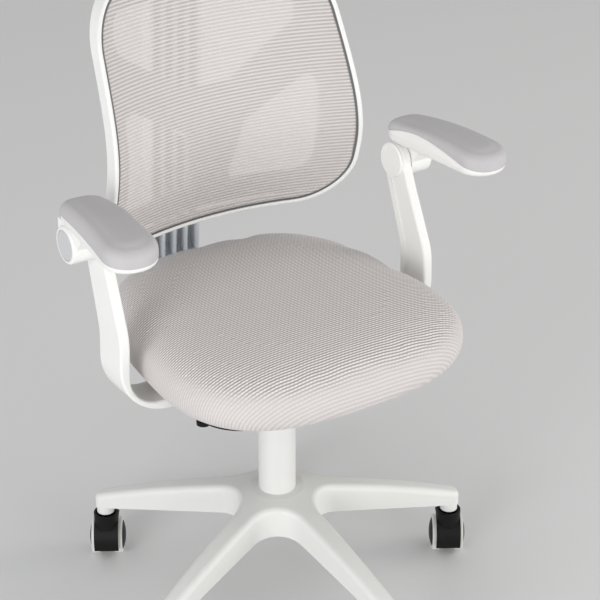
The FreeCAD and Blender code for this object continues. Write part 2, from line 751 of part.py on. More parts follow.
def arm_pad():
    rings = []
    top = mm("pad_stack")
    for share, inset in ((0.0, 1.6), (0.25, 0.0), (0.6, 2.6), (0.85, 8.0), (1.0, 17.0)):
        rear = mm("base_rear") + mm("soft_gap")
        tip = mm("base_front") + mm("soft_gap")
        rings.append(pad_ring(inset, rear + share * (top - rear), tip + share * (top - tip)))
    return pad_frame(Part.makeLoft(rings, True, False))


# Pad base: wedge-shaped tray under the pad, keel over the hinge, hinge barrel outside the arm
def pad_base():
    rear = mm("base_rear")
    tip = mm("base_front")
    rings = [pad_ring(8.0, 0, 0), pad_ring(3.0, 0.4 * rear, 0.4 * tip), pad_ring(1.0, rear, tip)]
    tray = pad_frame(Part.makeLoft(rings, True, False))
    back = mm("pivot_back")
    pivot = mm("pivot_height")
    disc = mm("disc_radius")
    start = mm("barrel_start")
    end = mm("barrel_end")
    along = Vector(1, 0, 0)
    roof = pivot + disc + 4
    barrel = Part.makeCylinder(disc, end - start, Vector(start, back, pivot), along)
    rim = [edge for edge in barrel.Edges if edge.BoundBox.XMin > end - 0.01]
    barrel = barrel.makeFillet(mm("barrel_round"), rim)
    keel = prism([(back - disc + 1, pivot, 4), (back + disc - 1, pivot, 4), (back + disc - 1, roof, 0),
                  (back - 2.6 * disc, roof, 0), (back - 1.8 * disc, roof - 4, 24)], "yz", start, end - 4)
    cap = Part.makeCylinder(mm("cap_radius") + mm("snug"), 10, Vector(end - 4, back, pivot), along)
    loose = mm("hinge_radius") + mm("running")
    bore = Part.makeCylinder(loose, end - start, Vector(start - 4, back, pivot), along)
    return tray.fuse([barrel, keel]).cut([cap, bore]).removeSplitter()


def armrests():
    right_arm = solid_piece("arm_right", arm_upright())
    mirrored_piece("arm_left", right_arm)
    right_base = solid_piece("pad_base_right", pad_base())
    mirrored_piece("pad_base_left", right_base)
    right_pad = solid_piece("arm_pad_right", arm_pad())
    mirrored_piece("arm_pad_left", right_pad)
    hinge = (0, "size.pivot_back", "level.pivot_height")
    for hand, sign in (("right", ""), ("left", "-")):
        pin = [("level.arm_inner", 0), ("level.arm_inner", "size.hinge_radius"),
               ("level.barrel_end - 5", "size.hinge_radius"), ("level.barrel_end - 5", 0)]
        turned(f"hinge_pin_{hand}", "x", [(f"{sign}({x})", r) for x, r in pin], hinge)
        cover = [("level.arm_inner - 3.5", 0), ("level.arm_inner - 3.5", "size.disc_radius - 2"),
                 ("level.arm_inner - 2", "size.disc_radius - 0.4"),
                 ("level.arm_inner", "size.disc_radius - 0.4"), ("level.arm_inner", 0)]
        turned(f"hinge_cover_{hand}", "x", [(f"{sign}({x})", r) for x, r in cover], hinge)
        cap = [("level.barrel_end - 4", 0), ("level.barrel_end - 4", "size.cap_radius"),
               ("level.barrel_end - 1", "size.cap_radius"), ("level.barrel_end", "size.cap_radius - 1.5"),
               ("level.barrel_end", 0)]
        turned(f"barrel_cap_{hand}", "x", [(f"{sign}({x})", r) for x, r in cap], hinge)


# Backrest surface: bowed forwards at the lumbar height, wrapped forwards at both sides
def back_depth(z):
    length = mm("lumbar_length")
    rise = z - mm("lumbar_height")
    return mm("lumbar_reach") + mm("lumbar_slope") * (math.hypot(length, rise) - length)


def back_slab(front, rear, setback=0.0):
    wide = mm("back_half") + 25
    wrap = mm("back_wrap") * (wide / mm("back_half")) ** 2
    low = mm("back_low") - 25
    count = 9
    step = (mm("back_top") + 25 - low) / (count - 1)
    sections = []
    for index in range(count):
        z = low + index * step
        middle = back_depth(z)
        ends = middle - wrap
        corners = [Vector(-wide, ends + front, z), Vector(wide, ends + front, z),
                   Vector(wide, ends + rear, z), Vector(-wide, ends + rear, z)]
        edges = [
            Part.Arc(corners[0], Vector(0, middle + setback + front, z), corners[1]).toShape(),
            Part.LineSegment(corners[1], corners[2]).toShape(),
            Part.Arc(corners[2], Vector(0, middle + setback + rear, z), corners[3]).toShape(),
            Part.LineSegment(corners[3], corners[0]).toShape(),
        ]
        sections.append(Part.Wire(edges))
    return Part.makeLoft(sections, True, False)


def back_corners():
    low = mm("back_low")
    top = mm("back_top")
    half_low = mm("back_half_low")
    half_top = mm("back_half_top")
    half = mm("back_half")
    return [(-half_low, low, mm("back_round_low")), (half_low, low, mm("back_round_low")),
            (half, mm("back_widest"), 400), (half_top, top, mm("back_round_top")),
            (-half_top, top, mm("back_round_top")), (-half, mm("back_widest"), 400)]


def back_prism(inset):
    return prism(back_corners(), "xz", -200, 500, inset)


def back_windows():
    low = mm("back_low") + 44
    top = mm("back_top") - 44
    neck = mm("lumbar_height") - 4
    stem = 27
    wide = mm("back_half") - 41
    tall = top - neck
    low_up, side_up, turn = neck + 0.33 * tall, neck + 0.75 * tall, 0.17 * tall
    upper = [(-32, low_up, turn), (32, low_up, turn), (wide - 4, side_up, turn),
             (wide - 22, top, 0.75 * turn), (22 - wide, top, 0.75 * turn), (4 - wide, side_up, turn)]
    windows = [prism(upper, "xz", -200, 500)]
    for side in (-1, 1):
        lower = [(side * stem, low, 14), (side * (wide - 2), low, 24), (side * wide, neck + 64, 14),
                 (side * (stem + 14), neck, 18)]
        windows.append(prism(lower, "xz", -200, 500))
    return windows


# Mesh back: moulded rim, dark spline in its groove, stretched mesh, Y-shaped support behind it
def backrest():
    width = mm("frame_width")
    snug = mm("snug")
    rim = back_slab(0, mm("frame_depth")).common(back_prism(0)).cut(back_prism(width)).removeSplitter()
    solid_piece("back_frame", rim.makeFillet(mm("frame_round"), rim.Edges))
    spline = back_prism(width + snug).cut(back_prism(width + 2.8))
    solid_piece("mesh_spline", back_slab(1.5, 5).common(spline).removeSplitter())
    mesh = back_slab(2, 3.2).common(back_prism(width + 3))
    solid_piece("back_mesh", mesh)
    front = mm("support_front")
    rear = front + mm("support_thickness")
    support = back_slab(front, rear, mm("support_setback")).common(back_prism(width + snug))
    solid_piece("back_support", support.cut(back_windows() + screw_holes()).removeSplitter())


def spine_side():
    top = mm("seat_under")
    foot = mm("arm_thickness")
    front = mm("spine_front")
    deep = mm("spine_depth")
    lean = mm("spine_lean")
    roof = mm("spine_top")
    toe = front - mm("spine_foot")
    return [(toe, top - foot, 0), (front + deep, top - foot, 60), (front + deep - lean, roof, 6),
            (front - lean, roof, 6), (front, top, 36), (toe, top, 0)]


# Spine: foot under the seat, ribbed channel up behind the back, two lugs that carry the support
def back_spine():
    half = mm("spine_half")
    side = spine_side()
    spine = prism(side, "yz", -half, half)
    toe = mm("spine_front") - mm("spine_foot")
    spine = spine.makeFillet(mm("spine_round"), [e for e in spine.Edges if e.BoundBox.YMax > toe + 1])
    top = mm("seat_under")
    depth = mm("spine_depth") - mm("spine_wall")
    lean_rate = mm("spine_lean") / (mm("spine_top") - top)
    low = top + 40
    roof = mm("spine_top") - 12
    front_low = mm("spine_front") - lean_rate * (low - top)
    front_top = mm("spine_front") - lean_rate * (roof - top)
    pocket_side = [(front_low - 30, low, 0), (front_low + depth, low, 8), (front_top + depth, roof, 8),
                   (front_top - 30, roof, 0)]
    rib = mm("spine_rib")
    bay = (2 * half - 2 * mm("spine_wall") - 3 * rib) / 4
    pockets = []
    for index in range(4):
        start = -half + mm("spine_wall") + index * (bay + rib)
        pockets.append(prism(pocket_side, "yz", start, start + bay))
    spine = spine.cut(pockets)
    lugs = []
    for height in lug_heights():
        lugs.append(lug(height, front_low + depth - lean_rate * (height - low)))
    shade = back_slab(-150, mm("support_front") + mm("support_thickness") + mm("snug"), mm("support_setback"))
    spine = spine.fuse([each.cut(shade) for each in lugs]).cut(bolt_holes("spine"))
    return spine.cut(screw_holes()).removeSplitter()


def lug_heights():
    return [mm("lumbar_height") - 8, mm("spine_top") - 14]


def lug(height, reach):
    half = mm("lug_half")
    tall = 14
    walls = []
    for side in (-half + 4, half - 4):
        walls.append(block((side - 4, 60, height - tall), (side + 4, reach, height + tall)))
    web = block((-half, 60, height - 4), (half, reach, height + 4))
    post = block((-8, 60, height - 8), (8, reach, height + 8))
    return walls[0].fuse([walls[1], web, post])


# Screws from behind, deep in the lugs: (x, y, z) of the shoulder under each head
def screw_seats():
    seats = []
    for height in lug_heights():
        rear = back_depth(height) + mm("support_setback") + mm("support_front") + mm("support_thickness")
        seats.append((0, rear + mm("screw_clamp"), height))
    return seats


def screw_length():
    return mm("screw_clamp") + mm("support_thickness") - 1


def screw_holes():
    cuts = []
    for x, y, z in screw_seats():
        cuts.append(Part.makeCylinder(2.6, screw_length(), Vector(x, y, z), Vector(0, -1, 0)))
        cuts.append(Part.makeCylinder(6.2, 150, Vector(x, y, z), Vector(0, 1, 0)))
    return cuts


def back_screws():
    screws = []
    for x, y, z in screw_seats():
        shank = Part.makeCylinder(2.5, screw_length() - 0.5, Vector(x, y, z), Vector(0, -1, 0))
        head = Part.makeCylinder(6, 3, Vector(x, y, z), Vector(0, 1, 0))
        screws.append(shank.fuse(head).removeSplitter())
    return Part.makeCompound(screws)


solid_piece("five_star_base", five_star_base())
casters()
gas_column()
solid_piece("seat_plate", seat_plate())
turned("lever_pin", "y", [(-14, 0), (-14, 2.5), (14, 2.5), (14, 0)],
       ("-size.lever_pivot", 0, "level.lever_height"))
solid_piece("height_lever", height_lever())
solid_piece("seat_pan", seat_pan())
solid_piece("seat_cushion", seat_cushion())
solid_piece("seat_bolts", seat_bolts())
armrests()
backrest()
solid_piece("back_spine", back_spine())
solid_piece("back_screws", back_screws())

doc.recompute()
for item in doc.Objects:
    if "Invalid" in item.State or "Error" in item.State:
        raise RuntimeError(f"{item.Label} failed to build")
for piece in pieces:
    if piece.Shape.isNull() or not piece.Shape.isValid():
        raise RuntimeError(f"{piece.Label} has no valid shape")
for piece in pieces:
    piece.Shape.exportStep(f"parts/{piece.Label}.step")
print(len(pieces), "pieces")
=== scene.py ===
import json
import math
import bmesh
import bpy
from mathutils import Matrix, Vector


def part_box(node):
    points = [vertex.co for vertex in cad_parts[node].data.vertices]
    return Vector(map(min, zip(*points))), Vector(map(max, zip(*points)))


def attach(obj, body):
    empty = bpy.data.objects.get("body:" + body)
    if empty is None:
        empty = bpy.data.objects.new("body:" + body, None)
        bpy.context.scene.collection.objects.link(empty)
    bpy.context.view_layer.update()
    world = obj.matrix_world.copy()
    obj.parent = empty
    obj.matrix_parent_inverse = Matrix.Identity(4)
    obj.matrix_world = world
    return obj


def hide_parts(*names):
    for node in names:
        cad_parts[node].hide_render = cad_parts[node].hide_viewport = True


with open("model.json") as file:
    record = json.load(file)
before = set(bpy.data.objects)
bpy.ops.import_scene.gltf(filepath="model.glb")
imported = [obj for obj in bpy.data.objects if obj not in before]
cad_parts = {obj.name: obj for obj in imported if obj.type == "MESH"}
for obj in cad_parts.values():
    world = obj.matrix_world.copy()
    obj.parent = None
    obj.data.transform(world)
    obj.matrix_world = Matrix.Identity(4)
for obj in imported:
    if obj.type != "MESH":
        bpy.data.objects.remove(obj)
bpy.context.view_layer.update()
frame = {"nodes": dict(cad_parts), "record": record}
scene = bpy.context.scene
scene.view_settings.view_transform = "Standard"
print("frame loaded,", len(frame["nodes"]), "nodes")


def linear(hexText):
    parts = [int(hexText[i:i + 2], 16) / 255 for i in (0, 2, 4)]
    return [c / 12.92 if c <= 0.04045 else ((c + 0.055) / 1.055) ** 2.4 for c in parts] + [1.0]


def addNode(material, kind, settings=None, inputs=None, links=None):
    node = material.node_tree.nodes.new(kind)
    for key, value in (settings or {}).items():
        setattr(node, key, value)
    for key, value in (inputs or {}).items():
        node.inputs[key].default_value = value
    for key, socket in (links or {}).items():
        material.node_tree.links.new(socket, node.inputs[key])
    return node


def newMaterial(name):
    material = bpy.data.materials.new(name)
    material.use_nodes = True
    material.node_tree.nodes.clear()
    return material


def perMetre(sizeMm):
    return 1000.0 / sizeMm  # texture scale for a pattern of that size


# Moulded plastic: even colour with a faint cloudiness, and a fine spark texture from the mould
def mouldedPlastic(name, light, dark, roughness, grainMm, depthMm, ior=1.5, cloudMm=70):
    made = newMaterial(name)
    place = addNode(made, "ShaderNodeTexCoord").outputs["Object"]
    cloud = addNode(made, "ShaderNodeTexNoise", inputs={"Scale": perMetre(cloudMm), "Detail": 3.0},
                    links={"Vector": place})
    tint = addNode(made, "ShaderNodeMix", {"data_type": "RGBA"}, links={"Factor": cloud.outputs["Fac"]})
    tint.inputs["A"].default_value = linear(dark)
    tint.inputs["B"].default_value = linear(light)
    grain = addNode(made, "ShaderNodeTexNoise", inputs={"Scale": perMetre(grainMm), "Detail": 2.0},
                    links={"Vector": place})
    relief = addNode(made, "ShaderNodeBump", inputs={"Strength": 0.5, "Distance": depthMm / 1000},
                     links={"Height": grain.outputs["Fac"]})
    gloss = addNode(made, "ShaderNodeMapRange", inputs={"To Min": roughness - 0.05, "To Max": roughness + 0.05},
                    links={"Value": cloud.outputs["Fac"]})
    shader = addNode(made, "ShaderNodeBsdfPrincipled", inputs={"IOR": ior},
                     links={"Base Color": tint.outputs["Result"], "Roughness": gloss.outputs["Result"],
                            "Normal": relief.outputs["Normal"]})
    addNode(made, "ShaderNodeOutputMaterial", links={"Surface": shader.outputs["BSDF"]})
    return made


# Zinc-plated or enamelled steel: fine brushing along one direction in roughness and bump
def finishedSteel(name, light, dark, metallic, roughness):
    made = newMaterial(name)
    place = addNode(made, "ShaderNodeTexCoord").outputs["Object"]
    stretch = addNode(made, "ShaderNodeMapping", inputs={"Scale": (1.0, 1.0, 0.08)}, links={"Vector": place})
    brush = addNode(made, "ShaderNodeTexNoise", inputs={"Scale": perMetre(0.8), "Detail": 3.0},
                    links={"Vector": stretch.outputs["Vector"]})
    tint = addNode(made, "ShaderNodeMix", {"data_type": "RGBA"}, links={"Factor": brush.outputs["Fac"]})
    tint.inputs["A"].default_value = linear(dark)
    tint.inputs["B"].default_value = linear(light)
    gloss = addNode(made, "ShaderNodeMapRange", inputs={"To Min": roughness - 0.08, "To Max": roughness + 0.08},
                    links={"Value": brush.outputs["Fac"]})
    relief = addNode(made, "ShaderNodeBump", inputs={"Strength": 0.3, "Distance": 0.00004},
                     links={"Height": brush.outputs["Fac"]})
    shader = addNode(made, "ShaderNodeBsdfPrincipled", inputs={"Metallic": metallic},
                     links={"Base Color": tint.outputs["Result"], "Roughness": gloss.outputs["Result"],
                            "Normal": relief.outputs["Normal"]})
    addNode(made, "ShaderNodeOutputMaterial", links={"Surface": shader.outputs["BSDF"]})
    return made


weave = {
    "ribMm": 3.8,  # from one raised rib to the next
    "stitchMm": 5.5,  # dashes along a rib, staggered row by row
    "yarnMm": 0.9,  # drawn coarser than real yarn so that it shows
    "light": "F8F3F0",
    "dark": "969090",
    "depthMm": 0.35,
}


# Polyester rib knit: pale raised ribs with soft shade between, staggered stitches, a little fuzz
def ribKnit(name, cloth, across, along, cover=None):
    made = newMaterial(name)
    rowPlace = addNode(made, "ShaderNodeAttribute", {"attribute_name": across}).outputs["Fac"]
    stitchPlace = addNode(made, "ShaderNodeAttribute", {"attribute_name": along}).outputs["Fac"]
    rows = addNode(made, "ShaderNodeMath", {"operation": "MULTIPLY"}, {1: perMetre(cloth["ribMm"])}, {0: rowPlace})
    turn = addNode(made, "ShaderNodeMath", {"operation": "MULTIPLY"}, {1: 2 * math.pi}, {0: rows.outputs[0]})
    wave = addNode(made, "ShaderNodeMath", {"operation": "SINE"}, links={0: turn.outputs[0]})
    rib = addNode(made, "ShaderNodeMapRange", {"interpolation_type": "SMOOTHSTEP"},
                  {"From Min": -0.9, "From Max": 0.8}, {"Value": wave.outputs[0]})
    shifted = addNode(made, "ShaderNodeMath", {"operation": "ADD"}, {1: 0.25}, {0: rows.outputs[0]})
    rowNumber = addNode(made, "ShaderNodeMath", {"operation": "FLOOR"}, links={0: shifted.outputs[0]})
    stagger = addNode(made, "ShaderNodeMath", {"operation": "MULTIPLY"}, {1: math.pi}, {0: rowNumber.outputs[0]})
    stitchTurn = addNode(made, "ShaderNodeMath", {"operation": "MULTIPLY_ADD"},
                         {1: 2 * math.pi * perMetre(cloth["stitchMm"])}, {0: stitchPlace, 2: stagger.outputs[0]})
    stitch = addNode(made, "ShaderNodeMath", {"operation": "SINE"}, links={0: stitchTurn.outputs[0]})
    dash = addNode(made, "ShaderNodeMapRange",
                   inputs={"From Min": -1.0, "From Max": 1.0, "To Min": 0.72, "To Max": 1.0},
                   links={"Value": stitch.outputs[0]})
    place = addNode(made, "ShaderNodeTexCoord").outputs["Object"]
    yarn = addNode(made, "ShaderNodeTexNoise", inputs={"Scale": perMetre(cloth["yarnMm"]), "Detail": 2.0},
                   links={"Vector": place})
    body = addNode(made, "ShaderNodeMath", {"operation": "MULTIPLY"},
                   links={0: rib.outputs["Result"], 1: dash.outputs["Result"]})
    height = addNode(made, "ShaderNodeMath", {"operation": "MULTIPLY_ADD"}, {1: 0.25},
                     {0: yarn.outputs["Fac"], 2: body.outputs[0]})
    taut = addNode(made, "ShaderNodeAttribute", {"attribute_name": "taut"}).outputs["Fac"]
    least = addNode(made, "ShaderNodeMath", {"operation": "MULTIPLY"}, {1: 0.36}, {0: taut})
    most = addNode(made, "ShaderNodeMath", {"operation": "MULTIPLY_ADD"}, {1: -0.44, 2: 1.0}, {0: taut})
    tone = addNode(made, "ShaderNodeMapRange",
                   links={"Value": body.outputs[0], "To Min": least.outputs[0], "To Max": most.outputs[0]})
    lift = addNode(made, "ShaderNodeMath", {"operation": "MULTIPLY_ADD"}, {1: -0.7, 2: 1.0}, {0: taut})
    tint = addNode(made, "ShaderNodeMix", {"data_type": "RGBA"}, links={"Factor": tone.outputs["Result"]})
    tint.inputs["A"].default_value = linear(cloth["dark"])
    tint.inputs["B"].default_value = linear(cloth["light"])
    relief = addNode(made, "ShaderNodeBump", inputs={"Distance": cloth["depthMm"] / 1000},
                     links={"Height": height.outputs[0], "Strength": lift.outputs[0]})
    shader = addNode(made, "ShaderNodeBsdfPrincipled",
                     inputs={"Roughness": 0.85, "Sheen Weight": 0.15, "Sheen Roughness": 0.5},
                     links={"Base Color": tint.outputs["Result"], "Normal": relief.outputs["Normal"]})
    if cover:  # open net: most light passes between the ribs, a little through them
        holes = addNode(made, "ShaderNodeMapRange", inputs={"To Min": cover[0], "To Max": cover[1]},
                        links={"Value": rib.outputs["Result"]})
        made.node_tree.links.new(holes.outputs["Result"], shader.inputs["Alpha"])
    addNode(made, "ShaderNodeOutputMaterial", links={"Surface": shader.outputs["BSDF"]})
    return made


# satin white housing: glass-filled nylon and ABS, a little gloss, barely visible spark texture
whiteAbs = mouldedPlastic("mouldedWhiteAbs", "EEEEEC", "E7E7E4", 0.42, 0.9, 0.02)
greyAbs = mouldedPlastic("mouldedPaleGreyAbs", "C9CACB", "BFC0C1", 0.45, 0.9, 0.02)
spineAbs = mouldedPlastic("mouldedCoolGreyAbs", "D3D7DA", "C9CDD1", 0.45, 0.9, 0.02)
baseNylon = mouldedPlastic("mouldedGlassFilledNylon", "E4E4E1", "DCDCD9", 0.46, 0.8, 0.03)  # duller than the ABS
# painted shade: the back support's colour is darkened to grey to stand in for the shade the net casts on it
supportNylonDarkenedForShade = mouldedPlastic("supportNylonDarkenedForNetShade", "BFC1C3", "B5B7BA", 0.5, 0.8, 0.03)
blackNylon = mouldedPlastic("mouldedBlackNylon", "0E0F0E", "080908", 0.5, 0.8, 0.03, ior=1.3)
splineRubber = mouldedPlastic("extrudedDarkSpline", "69696B", "5B5B5D", 0.6, 0.8, 0.02)
padSkin = mouldedPlastic("integralSkinPadFoam", "BFBDBE", "B6B4B5", 0.62, 1.1, 0.08)  # soft, pebbled skin
wheelTread = mouldedPlastic("castPaleTread", "E6E6E2", "DADAD6", 0.5, 0.8, 0.02)
wheelDisc = mouldedPlastic("mouldedDarkDisc", "232422", "1A1B19", 0.5, 0.8, 0.03, ior=1.3)
powderWhite = mouldedPlastic("powderCoatedTube", "E3E3E1", "DBDBD8", 0.35, 1.6, 0.03)  # orange-peel gloss
zincSteel = finishedSteel("zincPlatedSteel", "C4C6C9", "A6A8AC", 1.0, 0.35)
blackSteel = finishedSteel("blackEnamelledSteel", "202022", "161618", 0.0, 0.4)
seatKnit = ribKnit("polyesterRibKnit", weave, "weft", "warp")

netWeave = dict(weave, ribMm=4.3, stitchMm=6.0, depthMm=0.4, light="E6E0DD", dark="DDD7D4")
backNet = ribKnit("polyesterOpenNet", netWeave, "weft", "warp", cover=(0.4, 0.72))

slotMaterials = {
    "white_plastic": whiteAbs, "light_grey_plastic": greyAbs, "pad_grey": padSkin, "white_tube": powderWhite,
    "black_plastic": blackNylon, "dark_spline": splineRubber, "seat_fabric": seatKnit, "back_fabric": backNet,
    "dark_steel": blackSteel, "bright_steel": zincSteel, "caster_black": blackNylon, "wheel_grey": wheelDisc,
}
for part in frame["record"]["subparts"]:
    node = frame["nodes"][part["node"]]
    node.data.materials.clear()
    node.data.materials.append(slotMaterials[part["material_slot"]])
otherMaterials = {
    "back_spine": spineAbs, "five_star_base": baseNylon, "back_support": supportNylonDarkenedForShade,
    "hinge_cover_left": whiteAbs, "hinge_cover_right": whiteAbs,
}
for name, material in otherMaterials.items():
    frame["nodes"][name].data.materials[0] = material
print("materials set")


def newPiece(name, bm, materials, smooth=True):
    mesh = bpy.data.meshes.new(name)
    for face in bm.faces:
        face.smooth = smooth
    bm.to_mesh(mesh)
    bm.free()
    piece = bpy.data.objects.new(name, mesh)
    scene.collection.objects.link(piece)
    for material in materials:
        mesh.materials.append(material)
    return piece


def setFloats(mesh, name, values):
    layer = mesh.attributes.new(name, "FLOAT", "POINT")
    layer.data.foreach_set("value", values)


seat = {
    "halfWidth": 0.206, "front": -0.220, "rear": 0.217, "low": 0.3605, "top": 0.461,
    "planPower": 2.85, "sectionPower": 3.1, "flare": -0.1, "foot": 0.3655,
    "panLow": (-0.168, -0.146), "panHigh": (0.168, 0.181), "panTop": 0.3766, "tuck": 0.012, "tuckFrom": 0.66,
    "inset": 0.0015, "voxel": 0.006, "pressure": 4.0, "cap": 0.005, "frames": 20,
    "drawn": 0.68, "tautFrom": 0.03, "tautFull": 0.45,
    "cuts": 26, "heldUp": 0.003, "smoothUp": 0.002, "smoothPasses": 4, "recessUp": 0.004,
}


# A unit cube's point moved onto the cushion's rounded box, then trimmed flat underneath
def seatPoint(p):
    n, m = seat["planPower"], seat["sectionPower"]
    plan = (abs(p.x) ** n + abs(p.y) ** n) ** (m / n)
    s = 1.0 / (plan + abs(p.z) ** m) ** (1 / m)
    x, y, z = p.x * s, p.y * s, p.z * s
    grow = seat["inset"]
    middle, half = (seat["front"] + seat["rear"]) / 2, (seat["rear"] - seat["front"]) / 2
    waist = (seat["top"] + seat["low"]) / 2
    rise = (seat["top"] - seat["low"]) / 2
    px = x * (seat["halfWidth"] - grow) * (1 + seat["flare"] * y)
    py = middle + y * (half - grow)
    pz = waist + z * (rise - grow)
    tucked = max(0.0, (-y - seat["tuckFrom"]) / (1 - seat["tuckFrom"]))
    return Vector((px, py, max(pz, seat["foot"] + seat["tuck"] * tucked ** 2)))


# Cloth pressed out by foam: remeshed evenly, swollen, each point's movement capped
def swell(piece, voxel, pressure, cap, heldBelow):
    remesh = piece.modifiers.new("even", "REMESH")
    remesh.mode = "VOXEL"
    remesh.voxel_size = voxel
    graph = bpy.context.evaluated_depsgraph_get()
    even = bpy.data.meshes.new_from_object(piece.evaluated_get(graph))
    piece.modifiers.clear()
    piece.data = even
    start = [v.co.copy() for v in even.vertices]
    held = piece.vertex_groups.new(name="held")
    held.add([v.index for v in even.vertices if v.co.z < heldBelow], 1.0, "REPLACE")
    cloth = piece.modifiers.new("cover", "CLOTH")
    cloth.settings.quality = 6
    cloth.settings.mass = 0.25
    cloth.settings.tension_stiffness = 12
    cloth.settings.compression_stiffness = 12
    cloth.settings.bending_stiffness = 1.5
    cloth.settings.use_pressure = True
    cloth.settings.uniform_pressure_force = pressure
    cloth.settings.effector_weights.gravity = 0
    cloth.settings.vertex_group_mass = "held"
    cloth.collision_settings.use_collision = False
    for step in range(1, seat["frames"] + 1):
        scene.frame_set(step)
    graph = bpy.context.evaluated_depsgraph_get()
    swollen = piece.evaluated_get(graph).to_mesh()
    ends = [v.co.copy() for v in swollen.vertices]
    piece.evaluated_get(graph).to_mesh_clear()
    piece.modifiers.clear()
    piece.vertex_groups.clear()
    for vertex, first, last in zip(even.vertices, start, ends):
        move = last - first
        if move.length > cap:
            move = move * (cap / move.length)
        vertex.co = first + move
    scene.frame_set(1)


def smoothMesh(mesh, passes, keepBelow):
    bm = bmesh.new()
    bm.from_mesh(mesh)
    free = [v for v in bm.verts if v.co.z > keepBelow]
    for step in range(passes):
        bmesh.ops.smooth_vert(bm, verts=free, factor=0.5, use_axis_x=True, use_axis_y=True, use_axis_z=True)
    for face in bm.faces:
        face.smooth = True
    bm.to_mesh(mesh)
    bm.free()


# How much cloth the edge takes up between the crown and a height, beyond its plan length
def drawnDown(z):
    m, rise, reach = seat["sectionPower"], (seat["top"] - seat["low"]) / 2, seat["halfWidth"]
    level = min(1.0, max(-1.0, (z - (seat["top"] + seat["low"]) / 2) / rise))
    taken, last = 0.0, None
    for step in range(41):
        here = 1.0 + (level - 1.0) * step / 40
        spot = Vector((reach * (1 - abs(here) ** m) ** (1 / m), rise * here))
        if last is not None:
            taken += (spot - last).length - (spot.x - last.x)
        last = spot
    return taken


# Ribs fade where the cover is drawn tight over the edge
def tautness(normal):
    share = (1 - normal.z - seat["tautFrom"]) / (seat["tautFull"] - seat["tautFrom"])
    share = min(1.0, max(0.0, share))
    return share * share * (3 - 2 * share)


def makeSeat():
    bm = bmesh.new()
    bmesh.ops.create_cube(bm, size=2.0)
    bmesh.ops.subdivide_edges(bm, edges=bm.edges[:], cuts=seat["cuts"], use_grid_fill=True)
    for vertex in bm.verts:
        vertex.co = seatPoint(vertex.co)
    piece = newPiece("seatCover", bm, [seatKnit])
    swell(piece, seat["voxel"], seat["pressure"], seat["cap"], seat["foot"] + seat["heldUp"])
    smoothMesh(piece.data, seat["smoothPasses"], seat["foot"] + seat["smoothUp"])
    mesh = piece.data
    mesh.materials.clear()
    mesh.materials.append(seatKnit)
    for vertex in mesh.vertices:  # the pan sits in a shallow recess
        inside = all(seat["panLow"][i] < vertex.co[i] < seat["panHigh"][i] for i in (0, 1))
        if inside and vertex.co.z < seat["foot"] + seat["recessUp"]:
            vertex.co.z = seat["panTop"]
    rows, stitches = [], []
    for vertex in mesh.vertices:  # cloth laid over the crown and drawn down each side
        out = vertex.normal.xy.normalized() * drawnDown(vertex.co.z) * seat["drawn"]
        rows.append(vertex.co.y + out.y)
        stitches.append(vertex.co.x + out.x)
    setFloats(mesh, "weft", rows)
    setFloats(mesh, "warp", stitches)
    setFloats(mesh, "taut", [tautness(v.normal) for v in mesh.vertices])
    finer = piece.modifiers.new("finer", "SUBSURF")
    finer.levels = finer.render_levels = 1
    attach(piece, "seat_unit")
    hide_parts("seat_cushion")
    return piece


makeSeat()
print("seat cover done")

armPad = {
    "rear": 0.020, "tip": -0.172, "halfRear": 0.0275, "halfTip": 0.035, "cornerRear": 0.0234, "cornerTip": 0.0322,
    "lowRear": 0.0128, "lowTip": 0.0063, "top": 0.027, "brow": 0.0118,
    "pivot": (0.240, 0.052, 0.5975), "toe": 5.0, "tilt": -1.5,
    "slices": 26, "arch": 0.0092, "splitInner": 0.0172, "splitOuter": 0.0058, "splitTip": 0.0014,
    "splitLean": 1.3, "archSpread": 0.8, "hem": 0.0012,
    "crownStep": 0.004, "crown": (0.0014, 0.0009, 0.0004), "trayInset": 0.0009, "trayGap": 0.0002, "trayEdge": 0.0005,
}


# 0 at the pad's tip, 1 at its rear
def alongPad(y):
    return min(1.0, max(0.0, (y - armPad["tip"]) / (armPad["rear"] - armPad["tip"])))


# Where the pad ends and its white tray begins: an S along the inner side, nearly straight outside
def padSplit(x, y):
    t = alongPad(y)
    straight = armPad["lowTip"] + (armPad["lowRear"] - armPad["lowTip"]) * t
    inner = armPad["splitInner"] * math.sin(math.pi * t ** armPad["splitLean"])
    outer = armPad["splitOuter"] * math.sin(math.pi * t)
    share = min(1.0, max(0.0, 0.5 - x / (2 * armPad["halfRear"])))
    share = share * share * (3 - 2 * share)
    return straight, straight + outer + (inner - outer) * share + armPad["splitTip"] * (1 - t)


def padTop(y):
    t = alongPad(y)
    return armPad["top"] + armPad["arch"] * math.sin(math.pi * t) ** armPad["archSpread"]


def cornerEdges(bm, rear):
    wanted = []
    for edge in bm.edges:
        first, second = edge.verts
        upright = abs(first.co.x - second.co.x) < 1e-5 and abs(first.co.y - second.co.y) < 1e-5
        if upright and (first.co.y > 0) == rear:
            wanted.append(edge)
    return wanted


# The pad's plan outline as a flat-topped block with rounded corners
def padBlank(trim):
    bm = bmesh.new()
    bmesh.ops.create_cube(bm, size=2.0)
    for vertex in bm.verts:
        isRear = vertex.co.y > 0
        half = (armPad["halfRear"] if isRear else armPad["halfTip"]) - trim
        low = armPad["lowRear"] if isRear else armPad["lowTip"]
        vertex.co = (math.copysign(half, vertex.co.x), armPad["rear"] - trim if isRear else armPad["tip"] + trim,
                     armPad["top"] if vertex.co.z > 0 else low)
    bmesh.ops.bevel(bm, geom=cornerEdges(bm, True), offset=armPad["cornerRear"] - trim, offset_type="OFFSET",
                    affect="EDGES", segments=12, profile=0.5, material=-1)
    bmesh.ops.bevel(bm, geom=cornerEdges(bm, False)[:2], offset=armPad["cornerTip"] - trim, offset_type="OFFSET",
                    affect="EDGES", segments=14, profile=0.5, material=-1)
    return bm


